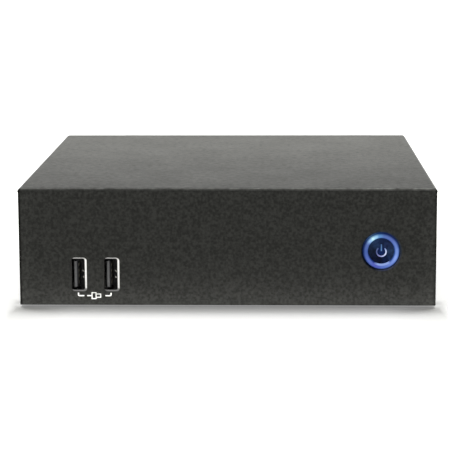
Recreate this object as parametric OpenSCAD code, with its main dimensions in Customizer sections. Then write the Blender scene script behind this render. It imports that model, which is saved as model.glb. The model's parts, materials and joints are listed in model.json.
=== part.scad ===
// A small desktop computer in a folded steel case, with two sockets and a lit power button in front.
// Millimetres. X runs to the right of the front, Y to the back and Z up, from the floor under the middle.

/* [Case] */
// Width of the case across its front
case_w = 165; // [162:1:180]
// Depth of the case from front to back
case_d = 157; // [156:1:175]
// Height of the steel case, without its feet
case_h = 47; // [45:1:60]
// Thickness of the steel sheet
sheet_t = 1; // [0.8:0.1:1.2]
// Outside radius of the bends in the sheet
bend_r = 1.5; // [1.3:0.1:2.5]
// Gap between the cover and the tray inside it
cover_gap = 0.3; // [0.2:0.1:0.5]
// Width of the open seam between the front flange and the side sheets behind its edges
seam_w = 0.3; // [0.2:0.05:0.5]
// How far the front flange stops short of the side faces
flange_short = 0.2; // [0.1:0.1:0.6]
// How far the cover reaches past the rear wall
rear_lip = 1.2; // [0.8:0.1:2]
// Height of the tray's side flanges above its underside
flange_h = 12; // [11:1:16]
// Height of the tray's front wall above its underside
front_wall_h = 38; // [36:1:42]

/* [Vents] */
// Width of each vent slot
vent_w = 2.4; // [1.5:0.1:3]
// Distance from one vent slot to the next
vent_pitch = 5; // [4:0.5:8]
// Height of the slots in the cover's sides
side_vent_h = 15; // [8:1:18]
// Number of slots in each side
side_vents = 14; // [6:1:18]
// Number of slots in the rear wall
rear_vents = 15; // [6:1:18]
// Length of the slots under the board
floor_vent_l = 26; // [15:1:34]

/* [Feet] */
// Height of the rubber feet
foot_h = 1; // [0.5:0.5:4]
// Diameter of each foot where it is stuck on
foot_d = 12; // [8:1:14]
// Distance from the case's edges to the middle of a foot
foot_inset = 17; // [14:1:20]

/* [Front sockets] */
// Distance from the case's left side to the middle of the pair
front_usb_inset = 29.75; // [27:0.05:36]
// Distance between the two sockets
front_usb_pitch = 13; // [12:0.1:16]
// Height of their middle above the case's underside
front_usb_up = 12.1; // [11:0.05:16]
// How far a shell's flared lip stands out past its wall, behind the front
lip_flare = 1.15; // [0.95:0.05:1.3]
// Depth of a shell from its mouth
front_usb_depth = 14; // [13:0.5:16]

/* [Power button] */
// Distance from the case's right side to the button's middle
button_inset = 21.75; // [21.5:0.05:32]
// Height of the button above the case's underside
button_up = 21.95; // [19:0.05:25]
// Radius of the lit ring
ring_r = 7.1; // [6.9:0.05:8]
// Radius of the moving cap
cap_r = 5.05; // [4.5:0.05:5.3]
// Gap around the moving cap
cap_gap = 0.15; // [0.1:0.05:0.25]
// Distance that the cap travels when it is pressed
press_travel = 0.8; // [0.4:0.1:1]
// Middle radius of the power symbol's arc
symbol_r = 1.85; // [1.5:0.05:2.2]
// Stroke width of the power symbol
symbol_w = 0.5; // [0.3:0.05:0.6]

/* [Main board] */
// Gap between the main board and the tray's sides
board_side_gap = 5.2; // [5:0.1:7]
// Distance from the tray's front wall to the main board
front_bay = 24.1; // [23:0.1:26]
// Thickness of the circuit boards
board_t = 1.6; // [1:0.1:2]
// Height of the board's standoffs
standoff_h = 6; // [5:0.5:8]
// Distance from the board's edges to its corner screws
board_hole_inset = 3.6; // [3.3:0.1:4]

/* [Rear sockets] */
// How far the sockets stand past the rear wall
port_proud = 0.3; // [0:0.1:0.6]
// Clearance around each socket in the rear wall
port_gap = 0.3; // [0.2:0.05:0.5]
// Bore radius of the sound sockets
audio_bore_r = 1.8; // [1.78:0.01:1.85]
// Radius of the power input's pin
dc_pin_r = 1.25; // [1:0.05:1.3]

/* [Cooling] */
// Number of blades on the impeller
blades = 29; // [15:2:35]
// Height of the blower's housing
blower_h = 15; // [13:1:16]
// Distance between the cooling fins
fin_pitch = 2; // [1.5:0.25:3]
// Radial clearance of the impeller's shaft
shaft_gap = 0.02; // [0.02:0.01:0.05]

/* [Drive and memory] */
// Width of the drive
drive_w = 69.85; // [69:0.05:70]
// Length of the drive
drive_l = 100.2; // [99:0.1:101]
// Thickness of the drive
drive_t = 9.5; // [7:0.5:9.5]
// Length of a memory module
module_l = 67.6; // [60:0.1:67.6]
// Depth of a memory module
module_d = 30; // [26:0.5:30]

/* [Mounting holes] */
// Distance between the threaded holes under the case
mount_pitch = 75; // [50:25:75]
// Radius of those holes, for M4 screws
mount_r = 2; // [1.5:0.5:2]

/* [Hidden] */
$fn = 48;

// Clearances
seat_gap = 0.05;          // between pieces that are pushed together
thread_gap = 0.05;        // between a screw and its nut
hole_gap = 0.15;          // between a screw and a hole that it only passes through
eps = 0.01;

// Case
x_side = case_w / 2;
y_front = -case_d / 2;
y_rear = case_d / 2;
z_base = foot_h;
z_top = z_base + case_h;
x_side_in = x_side - sheet_t;
y_front_in = y_front + sheet_t;
z_top_in = z_top - sheet_t;
bend_in = bend_r - sheet_t;
x_tray = x_side_in - cover_gap;
x_tray_in = x_tray - sheet_t;
y_tray_front = y_front_in + cover_gap;
y_tray_rear = y_rear - rear_lip;
y_wall_front = y_tray_front + sheet_t;
y_wall_rear = y_tray_rear - sheet_t;
z_floor = z_base + sheet_t;
wall_clear = 0.4;         // between the rear wall and the cover's top
z_wall_top = z_top_in - wall_clear;
relief_r = 0.45;          // round end of a corner seam
tray_relief_r = 1.3;
vent_up = 27;             // middle of the side vents above the case's underside
rear_vent_up = 36;
rear_vent_h = 10;
rear_vent_x = -24;
lock_slot = [7, 3.2];
lock_slot_x = 7.7 - x_tray_in;
lock_slot_up = 20;

// Screws: shank radius, head radius, head height
m3 = [1.45, 2.75, 1.8];
m2 = [0.95, 1.9, 1.2];
nut_r = 2.75;             // outside radius of the clinch nuts for the cover
nut_h = 2;
cover_screw_inset = 22.5;
cover_screw_y = [y_front + cover_screw_inset, y_rear - cover_screw_inset];
cover_screw_up = 6.5;
countersink_r = 2.9;
mount_nut_r = 3.6;
mount_nut_h = 3;
mount_shank_r = 2.8;
hex_fn = 6;

// Boards
z_board = z_floor + standoff_h;
z_board_top = z_board + board_t;
board_clear = 0.4;        // between the board and the rear wall
y_board_rear = y_wall_rear - board_clear;
y_board_front = y_wall_front + front_bay;
board_w = 2 * (x_tray_in - board_side_gap);
board_d = y_board_rear - y_board_front;
x_leg = cover_gap - x_tray_in;
drive_side_gap = 2.9;     // from the bracket's leg to the drive
drive_x = x_leg + drive_side_gap + drive_w / 2;
post_off = 6.2;           // from the drive to the middle of a post
post_x = drive_x + drive_w / 2 + post_off;
post_xy = [[post_x, y_board_rear - 23.5], [post_x, y_board_front + board_hole_inset]];
corner_xy = [for (x = [-1, 1]) for (y = [y_board_front + board_hole_inset, y_board_rear - board_hole_inset])
    [x * (board_w / 2 - board_hole_inset), y]];
board_hole_r = m3[0] + hole_gap;
standoff_r = 3;

// Front sockets: a standard A socket lies on its side, so that its long side stands upright
usb_mouth = [13.1, 5.7];
usb_wall = 0.3;
usb_corner = 0.8;
lip_l = 0.55;
lip_t = 0.3;
lip_back = 0.05;          // from the back of the front sheet to the lips
window_gap = 0.25;
window_cover = [1.8, 1.55]; // how much smaller a window in the front is than the lip behind it
window_shift = [0.6, 0.1];
window_corner = 1.5;
tongue_size = [10.5, 1.84];
tongue_off = 0.85;        // from the socket's middle towards its upper wall
tongue_back = 10.5;
tongue_lead = [0.35, 0.6]; // bevel along the tongue's front edges
leaf_at = [-1.5, 0.9];
leaf_w = 0.8;
tongue_front = 0.8;
contact_from = 2.4;
contact_size = [1.05, 0.16];
contact_at = [-3.5, -1, 1, 3.5];
x_usb = front_usb_inset - x_side;
y_usb = y_front + sheet_t + lip_back;
z_usb = z_base + front_usb_up;
front_board_size = [36, 21.5];
z_front_board = z_usb - usb_mouth[0] / 2 - board_t;
y_front_board = y_wall_front + 0.6;
front_board_holes = [[-14.5, 17], [14.5, 17]];

// Power button, along its own axis: distances are outward from the front face
x_button = x_side - button_inset;
z_button = z_base + button_up;
ring_in = cap_r + cap_gap;
ring_mid = (ring_r + ring_in) / 2;
ring_round = (ring_r - ring_in) / 2;
button_hole_gap = 0.45;
wall_hole_gap = 0.25;
wall_back = -(sheet_t + cover_gap + sheet_t);
ring_flange = [ring_r + 1.45, wall_back - seat_gap, 1.2];
ring_back = ring_flange[1] - ring_flange[2] - 0.5;
pipe_in = ring_in + 1.35;
pipe_out = ring_r + 0.65;
cap_flange_r = ring_in + 1.05;
cap_flange_t = 0.95;
cap_face = 0.3;
cap_edge = 0.4;
stem_r = 1.5;
stem_l = 2.5;
stem_tip = ring_back - seat_gap - cap_flange_t - stem_l;
plunger_r = 1.7;
plunger_l = press_travel + 0.35;
switch_size = [6, 6, 3.4];
switch_front = stem_tip - seat_gap - plunger_l;
button_board_front = switch_front - switch_size[2];
button_board_t = 1.2;
button_board_size = [32, 20];
button_screw_x = 12.8;
holder_r = ring_r + 3.3;
holder_ear_r = 3;
led_size = [1.4, 1.4, 0.5];
pipe_back = button_board_front + led_size[2] + 0.1;
symbol_bar = [0.25, 3];   // the bar's ends above the arc's middle
symbol_drop = 0.2;        // from the cap's middle down to the arc's
symbol_open = 42;         // half of the gap in the arc, in degrees
symbol_depth = 0.4;

// Rear sockets, with their heights above the board
y_port = y_tray_rear + port_proud;
stack_size = [14.8, 17.5, 16.2];
stack_ports = [4.5, 12];
usb_cavity = [12.5, 5.12, 12.5];
cavity_corner = 0.6;
hdmi_size = [15, 12.2, 6];
dp_size = [16.6, 13.4, 6.2];
shell_wall = 0.45;
video_tongue_t = 1.1;
lan_size = [16, 21, 13.6];
lan_cavity = [11.9, 14, 8.1];
lan_cavity_up = 2.6;
lan_key = [6.2, 1.8];
lan_contact_pitch = 1.02;
lan_contact_w = 0.4;
audio_size = [7, 12.6, 8.2];
audio_nose = [3.1, 1.9];
audio_up = 4.6;
audio_depth = 12;
dc_size = [9.4, 13.6, 11.2];
dc_nose = 1.6;
dc_bore_r = 3.2;
dc_depth = 10;
dc_up = 6.4;
dc_pin_l = 9.2;

// The sockets share the rear edge between its two corner screws: their widths, from left to right
port_w = [audio_size[0], audio_size[0], stack_size[0], stack_size[0], lan_size[0], dp_size[0], hdmi_size[0], dc_size[0]];
port_span = board_w - 2 * board_hole_inset - 2 * m3[1];
port_space = (port_span - total(port_w, len(port_w))) / (len(port_w) + 1);
audio_x = [port_x(0), port_x(1)];
stack_x = [port_x(2), port_x(3)];
lan_x = port_x(4);
dp_x = port_x(5);
hdmi_x = port_x(6);
dc_x = port_x(7);

// Blower: as large as the space between the posts, the fins, the processor and the front bay lets it be
fin_size_x = 11;
x_fins = x_tray_in - fin_size_x - 2.2;
fin_gap = 0.5;
outlet_reach = 0.8;
blower_left = post_x + 7.3;
blower_back = y_board_rear - 54.3;
blower_front_gap = 14.3;
blower_wall = 1.2;
blower_r = min(x_fins - fin_gap - outlet_reach - blower_left,
    blower_back - y_board_front - blower_front_gap) / 2;
blower_front = x_fins - fin_gap;
blower_xy = [blower_front - outlet_reach - blower_r, blower_back - blower_r];
scroll_r = blower_r - blower_wall;
scroll_gap = 3.5;
impeller_r = scroll_r - scroll_gap;
lid_t = 1;
hub_r = 0.42 * impeller_r;
intake_r = 0.76 * impeller_r;
hub_wall = 1.2;
shaft_r = 1;
bearing_r = shaft_r + shaft_gap;
rotor_gap = 1;            // between the impeller and the housing's plates
blade_t = 0.6;
blade_in = 0.7 * impeller_r;
outlet_w = 1.33 * scroll_r;
rotor_h = blower_h - 2 * lid_t - 2 * rotor_gap;
rotor_plate = 0.8;
ear_at = [[-1, -1], [-1, 1], [1, 1]];
ear_out = 0.76;           // an ear's distance along the diagonal, as a share of the housing's radius
ear_xy = [for (e = ear_at) blower_xy + ear_out * blower_r * e];
ear_r = 4;
ear_t = 3;
ear_post_r = 2.4;
post_bite = 5;            // how far a screw goes up into a post
fin_t = 0.4;
y_outlet = blower_xy[1] - scroll_r;
fin_count = floor((outlet_w - fin_t) / fin_pitch);

// Parts on the board
cpu_xy = [blower_xy[0] - 6, y_board_rear - 34];
cpu_size = [26, 24, 1];
die_size = [13, 11, 0.8];
z_die_top = z_board_top + cpu_size[2] + die_size[2];
plate_size = [cpu_size[0] + 10, cpu_size[1] + 3, 3];
plate_screw = [cpu_size[0] / 2 + 2.5, cpu_size[1] / 2 - 1];
plate_screw_xy = [for (x = [-1, 1], y = [-1, 1])
    [cpu_xy[0] + x * plate_screw[0], cpu_xy[1] + y * plate_screw[1]]];
plate_leg_r = 2.2;
z_pipe = z_die_top + plate_size[2];
pipe_size = [8, 3];
pipe_turn_r = 12;
inductor_size = [7, 7, 4];
inductor_pitch = 9;
capacitor_r = 3;
capacitor_h = 4.4;
capacitor_pitch = 7.5;
cell_xy = [ear_xy[0][0] + 18.6, y_board_front + 19.5];
cell_r = 10;
cell_t = 3.2;
cell_holder = [24, 24, 4.6];
header_h = 5;
z_blower = z_pipe + pipe_size[1] + 0.6;
z_rotor = z_blower + lid_t + rotor_gap;

// Memory
memory_x = 37 - board_w / 2;
memory_y = [y_board_rear - 31, y_board_rear - 67];
memory_socket = [module_l + 3.2, 6, 5.2];
memory_arm = [1.6, 22, 4];
memory_up = 2.4;
module_t = 1;
module_bite = 3;          // how deep a module goes into its socket
chip_size = [12, 10, 1.1];

// Drive
bracket_t = 1;
drive_y = y_board_rear - 27.8 - drive_l / 2;
z_bracket = z_board_top + 19.4;
z_drive = z_bracket + bracket_t;
drive_hole_x = 61.7 / 2;
drive_hole_y = [14 - 50.1, 90.6 - 50.1];
bracket_y = [post_xy[1][1] - 9.5, post_xy[0][1] + 1.6];
bracket_over = 3;         // how far the bracket reaches past the drive
bracket_leg_w = 16;
bracket_leg_y = [-30, 30];
drive_plug = [42, 7, 4.6];
drive_plug_y = drive_y + drive_l / 2 - 3.8;
y_cable_drop = drive_plug_y + drive_plug[1] + 4;

// ---- Shared shapes ----

// Sum of a list's first n values.
function total(v, n) = n == 0 ? 0 : v[n - 1] + total(v, n - 1);

// Middle of the rear socket with this number.
function port_x(i) = -port_span / 2 + total(port_w, i) + (i + 1) * port_space + port_w[i] / 2;

// A rectangle with round corners, about the origin.
module round_rect(w, h, r) {
    square([w - 2 * r, h], center = true);
    square([w, h - 2 * r], center = true);
    for (x = [-1, 1], y = [-1, 1])
        translate([x * (w / 2 - r), y * (h / 2 - r)])
            circle(r = r);
}

// A slot with round ends, along X if it is wider than it is high.
module slot(w, h) {
    r = min(w, h) / 2;
    square(w > h ? [w - 2 * r, h] : [w, h - 2 * r], center = true);
    for (s = [-1, 1])
        translate(w > h ? [s * (w / 2 - r), 0] : [0, s * (h / 2 - r)])
            circle(r = r);
}

// An outline drawn in X and Z, made solid from y to y + l.
module along_y(y, l) {
    translate([0, y + l, 0])
        rotate([90, 0, 0])
            linear_extrude(l)
                children();
}

// An outline drawn in Y and Z, made solid from x to x + l.
module along_x(x, l) {
    translate([x, 0, 0])
        rotate([90, 0, 90])
            linear_extrude(l)
                children();
}

// A block centred on x and y, standing on z.
module block(size, at) {
    translate([at[0] - size[0] / 2, at[1] - size[1] / 2, at[2]])
        cube(size);
}

// A screw with its head's underside at the origin, its shank along -Z.
module screw(size, length) {
    translate([0, 0, -length])
        cylinder(r = size[0], h = length + eps);
    difference() {
        cylinder(r = size[1], h = size[2]);
        translate([0, 0, size[2] / 2])
            cylinder(r = size[1] * 0.5, h = size[2], $fn = hex_fn);
    }
}

// The arch of a folded sheet: w wide and h high, its upper corners rounded.
module arch(w, h, r) {
    translate([-w / 2, 0])
        square([w, h - r]);
    translate([r - w / 2, 0])
        square([w - 2 * r, h]);
    for (s = [-1, 1])
        translate([s * (w / 2 - r), h - r])
            circle(r = r);
}

// Offset of a ribbon's edge at point i of its path.
function unit(v) = v / norm(v);
function turn_left(v) = [-v[1], v[0]];
function edge_at(p, i, t) =
    let (
        last = len(p) - 1,
        a = turn_left(unit(p[max(i, 1)] - p[max(i, 1) - 1])),
        b = turn_left(unit(p[min(i, last - 1) + 1] - p[min(i, last - 1)]))
    )
    (a + b) / (1 + a * b) * t / 2;

// A flat ribbon of thickness t along a path.
module ribbon(path, t) {
    last = len(path) - 1;
    polygon(concat(
        [for (i = [0:last]) path[i] + edge_at(path, i, t)],
        [for (i = [last:-1:0]) path[i] - edge_at(path, i, t)]
    ));
}

// Points of an arc about c, from angle a to angle b.
function arc(c, r, a, b, n = 6) = [for (i = [0:n]) c + r * [cos(a + (b - a) * i / n), sin(a + (b - a) * i / n)]];

// ---- Cover ----

// The cover's outside, or its inside where inset is the sheet's thickness.
module cover_block(inset) {
    r = bend_r - inset;
    h = case_h - inset;
    intersection() {
        translate([0, 0, z_base])
            along_y(y_front + inset, case_d)
                arch(case_w - 2 * inset, h, r);
        translate([0, 0, z_base])
            along_x(-case_w, 2 * case_w)
                translate([y_front + inset + case_d, 0])
                    arch(2 * case_d, h, r);
    }
}

module corner_seam() {
    z_end = z_top - bend_r - relief_r;
    h = z_end - z_base + 1;
    translate([x_side - flange_short, y_front - 1, z_base - 1])
        cube([sheet_t + 1, 1 + sheet_t + seam_w, h]);
    translate([x_side_in - 1, y_front_in, z_base - 1])
        cube([sheet_t + 2, seam_w, h]);
    translate([x_side - flange_short, y_front - 1, z_end])
        rotate([-90, 0, 0])
            cylinder(r = relief_r, h = 1 + sheet_t + seam_w);
}

module side_vent_row() {
    translate([0, 0, z_base + vent_up])
        along_x(-case_w, 2 * case_w)
            for (i = [0:side_vents - 1])
                translate([(i - (side_vents - 1) / 2) * vent_pitch, 0])
                    slot(vent_w, side_vent_h);
}

module at_cover_screws() {
    for (s = [-1, 1], y = cover_screw_y)
        translate([s * x_side, y, z_base + cover_screw_up])
            rotate([0, s * 90, 0])
                children();
}

module top_cover() {
    color("#3a3a39")
    difference() {
        cover_block(0);
        translate([0, eps, -eps])
            cover_block(sheet_t);
        translate([-case_w, y_rear, 0])
            cube([2 * case_w, case_d, z_top + 1]);
        corner_seam();
        mirror([1, 0, 0])
            corner_seam();
        side_vent_row();
        at_cover_screws()
            union() {
                translate([0, 0, -sheet_t - 1])
                    cylinder(r = m3[0] + hole_gap, h = sheet_t + 2);
                translate([0, 0, -sheet_t * 0.9])
                    cylinder(r1 = countersink_r - sheet_t * 0.9, r2 = countersink_r + eps, h = sheet_t * 0.9 + eps);
            }
        translate([window_shift[0], 0, z_usb + window_shift[1]])
            along_y(y_front - 1, 2 + sheet_t)
                for (s = [-1, 1])
                    translate([x_usb + s * front_usb_pitch / 2, 0])
                        round_rect(usb_mouth[1] + 2 * lip_flare - window_cover[0],
                            usb_mouth[0] + 2 * lip_flare - window_cover[1], window_corner);
        translate([x_button, y_front - 1, z_button])
            rotate([-90, 0, 0])
                cylinder(r = ring_r + button_hole_gap, h = 2 + sheet_t);
    }
}

// ---- Tray ----

// A block with its lower edges rounded, which is the tray's outside or inside.
module tray_block(inset) {
    r = bend_r - inset;
    w = 2 * (x_tray - inset);
    d = y_tray_rear - y_tray_front - 2 * inset;
    h = z_wall_top - z_base - inset + (inset > 0 ? 1 : 0);
    y_mid = (y_tray_rear + y_tray_front) / 2;
    z_flip = z_wall_top + (inset > 0 ? 1 : 0);
    intersection() {
        translate([0, 0, z_flip])
            mirror([0, 0, 1])
                along_y(y_mid - d / 2 - 1, d + 2)
                    arch(w, h, r);
        translate([0, 0, z_flip])
            mirror([0, 0, 1])
                along_x(-w / 2 - 1, w + 2)
                    translate([y_mid, 0])
                        arch(d, h, r);
    }
}

module rear_cutouts() {
    translate([0, 0, z_board_top])
        along_y(y_wall_rear - 1, sheet_t + 2)
            union() {
                for (x = stack_x)
                    translate([x, stack_size[2] / 2])
                        square([stack_size[0] + 2 * port_gap, stack_size[2] + 2 * port_gap], center = true);
                translate([lan_x, lan_size[2] / 2])
                    square([lan_size[0] + 2 * port_gap, lan_size[2] + 2 * port_gap], center = true);
                translate([hdmi_x, hdmi_size[2] / 2])
                    square([hdmi_size[0] + 2 * port_gap, hdmi_size[2] + 2 * port_gap], center = true);
                translate([dp_x, dp_size[2] / 2])
                    square([dp_size[0] + 2 * port_gap, dp_size[2] + 2 * port_gap], center = true);
                for (x = audio_x)
                    translate([x, audio_up])
                        circle(r = audio_nose[0] + port_gap);
                translate([dc_x, dc_size[2] / 2])
                    square([dc_size[0] + 2 * port_gap, dc_size[2] + 2 * port_gap], center = true);
            }
}

module chassis_tray() {
    color("#3a3a39")
    difference() {
        tray_block(0);
        tray_block(sheet_t);
        // the side flanges and the front wall are lower than the rear wall
        for (s = [-1, 1])
            block([4 * sheet_t, y_wall_rear - y_wall_front + 2 * sheet_t - sheet_t, case_h],
                [s * x_tray, (y_wall_rear + y_wall_front) / 2 - sheet_t / 2, z_base + flange_h]);
        block([2 * case_w, 4 * sheet_t, case_h], [0, y_tray_front, z_base + front_wall_h]);
        // corner reliefs
        for (x = [-1, 1], y = [y_wall_front, y_wall_rear])
            translate([x * x_tray_in, y, z_base - 1])
                cylinder(r = tray_relief_r, h = sheet_t + bend_r + 1);
        rear_cutouts();
        translate([0, 0, z_base + rear_vent_up])
            along_y(y_wall_rear - 1, sheet_t + 2)
                for (i = [0:rear_vents - 1])
                    translate([rear_vent_x + (i - (rear_vents - 1) / 2) * vent_pitch, 0])
                        slot(vent_w, rear_vent_h);
        translate([lock_slot_x, 0, z_base + lock_slot_up])
            along_y(y_wall_rear - 1, sheet_t + 2)
                square([lock_slot[1], lock_slot[0]], center = true);
        // windows in the front wall
        translate([0, 0, z_usb])
            along_y(y_tray_front - 1, 2 + sheet_t)
                for (s = [-1, 1])
                    translate([x_usb + s * front_usb_pitch / 2, 0])
                        square([usb_mouth[1] + 2 * (lip_flare + window_gap),
                            usb_mouth[0] + 2 * (lip_flare + window_gap)], center = true);
        at_button()
            union() {
                translate([0, 0, wall_back - 1])
                    cylinder(r = ring_r + wall_hole_gap, h = sheet_t + 2);
                for (s = [-1, 1])
                    translate([s * button_screw_x, 0, wall_back - 1])
                        cylinder(r = m2[0] + thread_gap, h = sheet_t + 2);
            }
        // slots in the floor, for air
        for (s = [-1, 1], i = [-3:3])
            translate([s * 14.5 + 8, i * vent_pitch - 6, z_base - 1])
                linear_extrude(sheet_t + 2)
                    slot(floor_vent_l, vent_w);
        for (x = [-1, 1], y = [-1, 1])
            translate([x * mount_pitch / 2, y * mount_pitch / 2, z_base - 1])
                cylinder(r = mount_shank_r + eps, h = sheet_t + 2);
        for (s = [-1, 1], y = cover_screw_y)
            translate([s * x_tray_in, y, z_base + cover_screw_up])
                rotate([0, 90, 0])
                    cylinder(r = nut_r - 0.5, h = 4 * sheet_t, center = true);
        for (y = bracket_leg_y)
            translate([-x_tray_in, y, z_base + cover_screw_up])
                rotate([0, 90, 0])
                    cylinder(r = m3[0] + thread_gap, h = 4 * sheet_t, center = true);
    }
}

// The countersunk screws that hold the cover to the tray's flanges.
module cover_screws() {
    head = sheet_t * 0.9 - seat_gap;
    color("#202020")
    at_cover_screws()
        difference() {
            union() {
                translate([0, 0, -5])
                    cylinder(r = m3[0], h = 5 - head);
                translate([0, 0, -head - seat_gap])
                    cylinder(r1 = countersink_r - head - 0.15, r2 = countersink_r - 0.15, h = head);
            }
            translate([0, 0, -seat_gap - 0.7])
                cylinder(r = 1.3, h = 1, $fn = hex_fn);
        }
}

// Clinch nuts pressed into the flanges, which the cover's screws go into.
module cover_nuts() {
    color("#b9bcc0")
    at_cover_screws()
        difference() {
            union() {
                translate([0, 0, -(x_side - x_tray_in) - nut_h])
                    cylinder(r = nut_r + 0.6, h = nut_h);
                translate([0, 0, -(x_side - x_tray_in) - eps])
                    cylinder(r = nut_r - 0.5 - eps, h = sheet_t);
            }
            translate([0, 0, -case_w / 4])
                cylinder(r = m3[0] + thread_gap, h = case_w / 4);
        }
}

module rubber_feet() {
    color("#1d1d1d")
    for (x = [-1, 1], y = [-1, 1])
        translate([x * (x_side - foot_inset), y * (y_rear - foot_inset), 0])
            union() {
                cylinder(r1 = foot_d / 2 - 0.8, r2 = foot_d / 2, h = foot_h * 0.5);
                translate([0, 0, foot_h * 0.5])
                    cylinder(r = foot_d / 2, h = foot_h * 0.5);
            }
}

// Clinch nuts in the floor, for a bracket under the case.
module mount_nuts() {
    color("#b9bcc0")
    for (x = [-1, 1], y = [-1, 1])
        translate([x * mount_pitch / 2, y * mount_pitch / 2, z_base])
            difference() {
                union() {
                    cylinder(r = mount_shank_r, h = sheet_t + eps);
                    translate([0, 0, sheet_t])
                        cylinder(r = mount_nut_r, h = mount_nut_h);
                }
                translate([0, 0, -1])
                    cylinder(r = mount_r, h = sheet_t + mount_nut_h + 2);
            }
}

// ---- Main board and what is on it ----

module board_standoffs() {
    color("#c9a227")
    for (p = concat(corner_xy, post_xy))
        translate([p[0], p[1], z_floor])
            difference() {
                cylinder(r = standoff_r, h = standoff_h, $fn = hex_fn);
                translate([0, 0, 1])
                    cylinder(r = m3[0] + thread_gap, h = standoff_h);
            }
}

module main_board() {
    color("#1f5a3a")
    difference() {
        translate([-board_w / 2, y_board_front, z_board])
            cube([board_w, board_d, board_t]);
        for (p = concat(corner_xy, post_xy))
            translate([p[0], p[1], z_board - 1])
                cylinder(r = board_hole_r, h = board_t + 2);
        for (p = concat(plate_screw_xy, ear_xy))
            translate([p[0], p[1], z_board - 1])
                cylinder(r = m2[0] + hole_gap, h = board_t + 2);
    }
}

module board_screws() {
    color("#b9bcc0")
    for (p = corner_xy)
        translate([p[0], p[1], z_board_top])
            screw(m3, board_t + standoff_h - 2);
}

// Plug headers for the drive, the front sockets, the button and the blower.
drive_header = [drive_x - 11.9, y_cable_drop];
front_header = [x_usb, y_board_front + 2.6];
button_header = [x_button, y_board_front + 4];
fan_header = [blower_left - 5.1, blower_xy[1] + 6];

module board_headers() {
    color("#e8e4d8")
    union() {
        block([14, 5, header_h], [drive_header[0], drive_header[1], z_board_top]);
        block([16, 4, 3], [front_header[0], front_header[1], z_board_top]);
        block([10, 4.5, header_h], [button_header[0], button_header[1], z_board_top]);
        block([4.5, 10, header_h], [fan_header[0], fan_header[1], z_board_top]);
    }
}

module processor_package() {
    color("#274e3c")
    block(cpu_size, [cpu_xy[0], cpu_xy[1], z_board_top]);
}

module processor_die() {
    color("#8f959b")
    block(die_size, [cpu_xy[0], cpu_xy[1], z_board_top + cpu_size[2]]);
}

module power_inductors() {
    color("#4a4a4c")
    for (i = [0:3])
        block(inductor_size, [cpu_xy[0] - 13 + inductor_pitch * i, cpu_xy[1] - 19.2, z_board_top]);
}

module power_capacitors() {
    color("#9aa0a6")
    for (i = [0:1])
        translate([board_w / 2 - 5 - capacitor_pitch * i, cpu_xy[1] + 13, z_board_top])
            cylinder(r = capacitor_r, h = capacitor_h);
}

module coin_cell_holder() {
    color("#2b2b2d")
    difference() {
        block(cell_holder, [cell_xy[0], cell_xy[1], z_board_top]);
        translate([cell_xy[0], cell_xy[1], z_board_top + 1])
            cylinder(r = cell_r + 0.2, h = 5);
        block([8, 30, 5], [cell_xy[0], cell_xy[1], z_board_top + 1]);
    }
}

module coin_cell() {
    color("#c8ccd0")
    translate([cell_xy[0], cell_xy[1], z_board_top + 1])
        cylinder(r = cell_r, h = cell_t);
}

// ---- Memory ----

module memory_sockets() {
    color("#2b2b2d")
    for (y = memory_y)
        translate([memory_x, y, z_board_top])
            difference() {
                union() {
                    block(memory_socket, [0, memory_socket[1] / 2 - module_bite, 0]);
                    for (s = [-1, 1])
                        block(memory_arm, [s * (memory_socket[0] - memory_arm[0]) / 2,
                            -memory_arm[1] / 2 - module_bite + eps, 0]);
                }
                block([module_l + 0.4, 2 * module_bite + 0.1, module_t + 0.2], [0, -module_bite, memory_up - 0.1]);
            }
}

module memory_module(y) {
    color("#1f5a3a")
    difference() {
        translate([memory_x - module_l / 2, y - module_d, z_board_top + memory_up])
            cube([module_l, module_d, module_t]);
        translate([memory_x + 8, y, z_board_top])
            cylinder(r = 0.8, h = 10);
    }
}

module memory_module_1() {
    memory_module(memory_y[0]);
}

module memory_module_2() {
    memory_module(memory_y[1]);
}

module memory_chips() {
    z = z_board_top + memory_up + module_t;
    color("#232325")
    for (y = memory_y, i = [0:3])
        block(chip_size, [memory_x + (i - 1.5) * 15.5, y - module_d + 12, z]);
}

// ---- Sockets in the rear wall ----

module dc_jack() {
    color("#232325")
    translate([dc_x, 0, z_board_top])
        difference() {
            translate([-dc_size[0] / 2, y_port - dc_size[1], 0])
                cube(dc_size);
            translate([0, y_port - dc_depth, dc_up])
                rotate([-90, 0, 0])
                    cylinder(r = dc_bore_r, h = dc_depth + 1);
        }
}

module dc_jack_pin() {
    color("#c8ccd0")
    translate([dc_x, y_port - dc_depth, z_board_top + dc_up])
        rotate([-90, 0, 0])
            cylinder(r = dc_pin_r, h = dc_pin_l);
}

// The outline of a socket with its two lower corners cut off.
module video_outline(size, inset) {
    w = size[0] - 2 * inset;
    h = size[2] - 2 * inset;
    cut = 1.7;
    translate([0, size[2] / 2])
        polygon([
            [-w / 2, h / 2], [w / 2, h / 2], [w / 2, cut - h / 2],
            [w / 2 - cut, -h / 2], [cut - w / 2, -h / 2], [-w / 2, cut - h / 2]
        ]);
}

module video_shell(size, x) {
    color("#c3c6ca")
    translate([x, 0, z_board_top])
        difference() {
            along_y(y_port - size[1], size[1])
                video_outline(size, 0);
            along_y(y_port - size[1] + 2, size[1])
                video_outline(size, shell_wall);
        }
}

module hdmi_shell() {
    video_shell(hdmi_size, hdmi_x);
}

module displayport_shell() {
    video_shell(dp_size, dp_x);
}

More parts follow.
